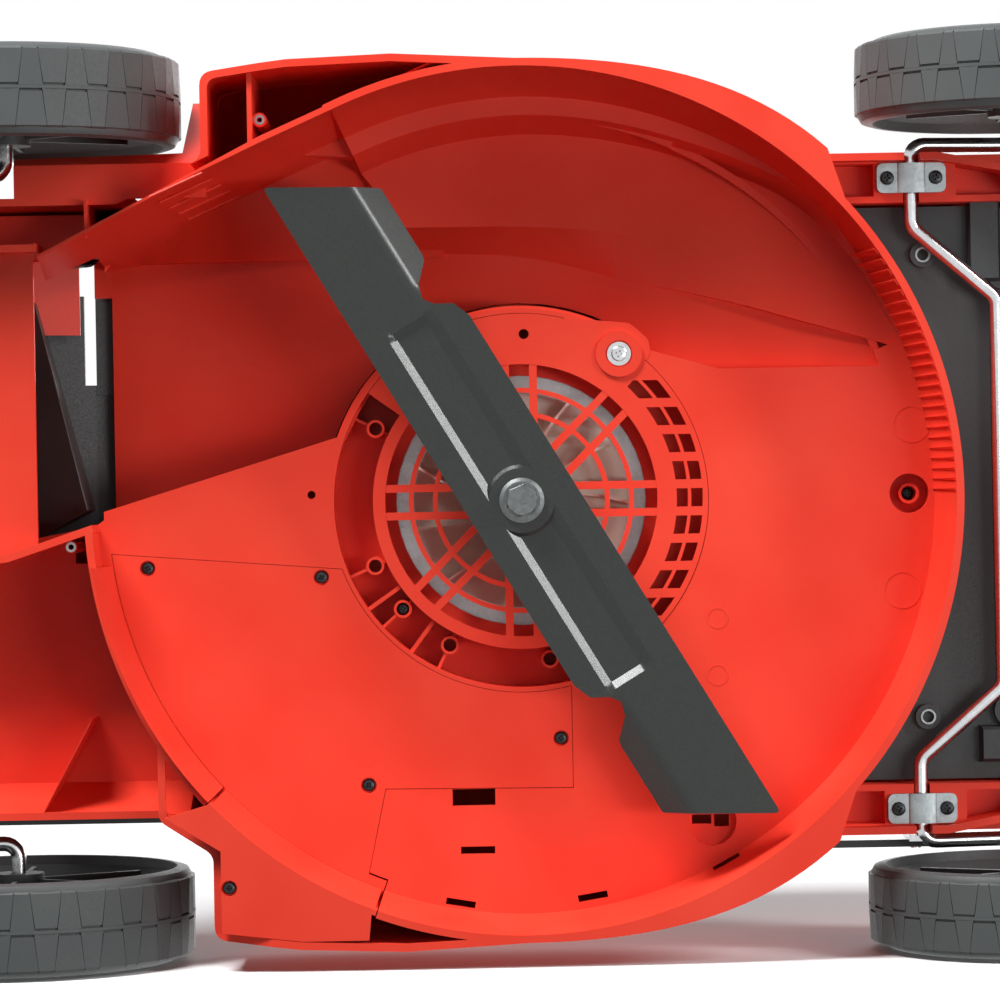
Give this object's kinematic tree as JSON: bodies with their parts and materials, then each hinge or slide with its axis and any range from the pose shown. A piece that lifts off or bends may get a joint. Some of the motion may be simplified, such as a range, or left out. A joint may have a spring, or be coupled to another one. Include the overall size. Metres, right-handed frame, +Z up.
{
  "type": "electric lawn mower",
  "caption": "Electric rotary lawn mower: red rear-discharge deck on cranked axles, bar blade below a cooling grille, motor hood, rear flap and folding handle with a start lever.",
  "frame": {"origin": "centre of the machine's outer box, on the ground it stands on", "axes": "+Z up; the nose points along -Y and the handle along +Y, so the operator's left is +X"},
  "size_m": [0.49, 1.261, 0.9219],
  "materials": {
    "red_plastic": "moulded, lightly pebbled",
    "black_plastic": "moulded, matt",
    "wheel_plastic": "hard moulded plastic",
    "pale_plastic": "moulded, undyed",
    "blade_steel": "black painted spring steel",
    "tube_steel": "black powder coat",
    "plain_steel": "bright drawn steel",
    "zinc_steel": "galvanised",
    "aluminium": "cast",
    "copper": "copper bars and windings",
    "carbon": "pressed carbon",
    "grip_rubber": "moulded synthetic rubber"
  },
  "bodies": {
    "deck": {"deck_housing": "red_plastic", "deck_cover_plate": "red_plastic", "cooling_grille": "red_plastic", "front_cover": "black_plastic", "motor_hood": "black_plastic", "motor_lower_bracket": "aluminium", "motor_upper_bracket": "aluminium", "motor_stator": "plain_steel", "lower_bearing": "plain_steel", "upper_bearing": "plain_steel", "carbon_brush_left": "carbon", "carbon_brush_right": "carbon", "front_axle_clamp_left": "zinc_steel", "front_axle_clamp_right": "zinc_steel", "rear_axle_clamp_left": "zinc_steel", "rear_axle_clamp_right": "zinc_steel", "lower_handle_left": "tube_steel", "lower_handle_right": "tube_steel", "height_quadrant": "plain_steel", "flap_hinge_pin": "plain_steel"},
    "blade_rotor": {"cutting_blade": "blade_steel", "blade_bolt": "zinc_steel", "blade_adapter": "aluminium", "cooling_fan": "pale_plastic", "motor_shaft": "plain_steel", "armature": "copper", "commutator": "copper"},
    "front_axle": {"front_axle_rod": "plain_steel"},
    "rear_axle": {"rear_axle_rod": "plain_steel", "height_lever": "plain_steel", "height_lever_grip": "black_plastic"},
    "tie_rod": {"height_tie_rod": "tube_steel"},
    "front_left_wheel": {"front_wheel_left": "wheel_plastic", "front_hub_cap_left": "red_plastic"},
    "front_right_wheel": {"front_wheel_right": "wheel_plastic", "front_hub_cap_right": "red_plastic"},
    "rear_left_wheel": {"rear_wheel_left": "wheel_plastic", "rear_hub_cap_left": "red_plastic"},
    "rear_right_wheel": {"rear_wheel_right": "wheel_plastic", "rear_hub_cap_right": "red_plastic"},
    "flap": {"rear_flap": "black_plastic"},
    "upper_handle": {"upper_handle_tube": "tube_steel", "handle_grip": "grip_rubber", "switch_box_front": "black_plastic", "switch_box_back": "black_plastic", "power_inlet": "black_plastic", "cable_hook": "black_plastic", "handle_bolt_left": "zinc_steel", "handle_bolt_right": "zinc_steel"},
    "start_lever": {"start_lever_bar": "red_plastic"},
    "lock_button": {"lock_off_button": "red_plastic"},
    "left_wing_knob": {"handle_knob_left": "black_plastic"},
    "right_wing_knob": {"handle_knob_right": "black_plastic"}
  },
  "joints": [
    {"name": "blade_spin", "type": "hinge", "parent": "deck", "child": "blade_rotor", "pos_m": [0, -0.27647, 0.035], "axis": [0, 0, 1], "continuous": true},
    {"name": "height_setting", "type": "hinge", "parent": "deck", "child": "rear_axle", "pos_m": [0, 0.05653, 0.085], "axis": [1, 0, 0], "range_deg": [0, 40]},
    {"name": "front_axle_swing", "type": "hinge", "parent": "deck", "child": "front_axle", "pos_m": [0, -0.48847, 0.075], "axis": [1, 0, 0], "range_deg": [0, 40]},
    {"name": "tie_rod_swing", "type": "hinge", "parent": "rear_axle", "child": "tie_rod", "pos_m": [0.1705, 0.05653, 0.12], "axis": [1, 0, 0], "range_deg": [-40, 0]},
    {"name": "front_left_roll", "type": "hinge", "parent": "front_axle", "child": "front_left_wheel", "pos_m": [0.2225, -0.54547, 0.085], "axis": [1, 0, 0], "continuous": true},
    {"name": "front_right_roll", "type": "hinge", "parent": "front_axle", "child": "front_right_wheel", "pos_m": [-0.2225, -0.54547, 0.085], "axis": [1, 0, 0], "continuous": true},
    {"name": "rear_left_roll", "type": "hinge", "parent": "rear_axle", "child": "rear_left_wheel", "pos_m": [0.22, -0.00047, 0.095], "axis": [1, 0, 0], "continuous": true},
    {"name": "rear_right_roll", "type": "hinge", "parent": "rear_axle", "child": "rear_right_wheel", "pos_m": [-0.22, -0.00047, 0.095], "axis": [1, 0, 0], "continuous": true},
    {"name": "flap_swing", "type": "hinge", "parent": "deck", "child": "flap", "pos_m": [0, -0.05547, 0.1645], "axis": [1, 0, 0], "range_deg": [0, 75]},
    {"name": "handle_fold", "type": "hinge", "parent": "deck", "child": "upper_handle", "pos_m": [0, 0.2555, 0.47174], "axis": [1, 0, 0], "range_deg": [0, 130]},
    {"name": "start_squeeze", "type": "hinge", "parent": "upper_handle", "child": "start_lever", "pos_m": [0, 0.56726, 0.84327], "axis": [-1, 0, 0], "range_deg": [0, 40], "stiffness_Nm_per_rad": 0.3, "springref_deg": -28.65},
    {"name": "lock_press", "type": "slide", "parent": "upper_handle", "child": "lock_button", "axis": [0, 0.766, -0.6428], "range_m": [0, 0.004], "stiffness_N_per_m": 300, "springref_m": -0.003},
    {"name": "left_knob_turn", "type": "hinge", "parent": "upper_handle", "child": "left_wing_knob", "pos_m": [0.1769, 0.2555, 0.47174], "axis": [1, 0, 0], "continuous": true},
    {"name": "right_knob_turn", "type": "hinge", "parent": "upper_handle", "child": "right_wing_knob", "pos_m": [-0.1769, 0.2555, 0.47174], "axis": [1, 0, 0], "continuous": true}
  ],
  "couplings": [
    {"joint": "front_axle_swing", "follows": "height_setting", "ratio": 1},
    {"joint": "tie_rod_swing", "follows": "height_setting", "ratio": -1}
  ]
}
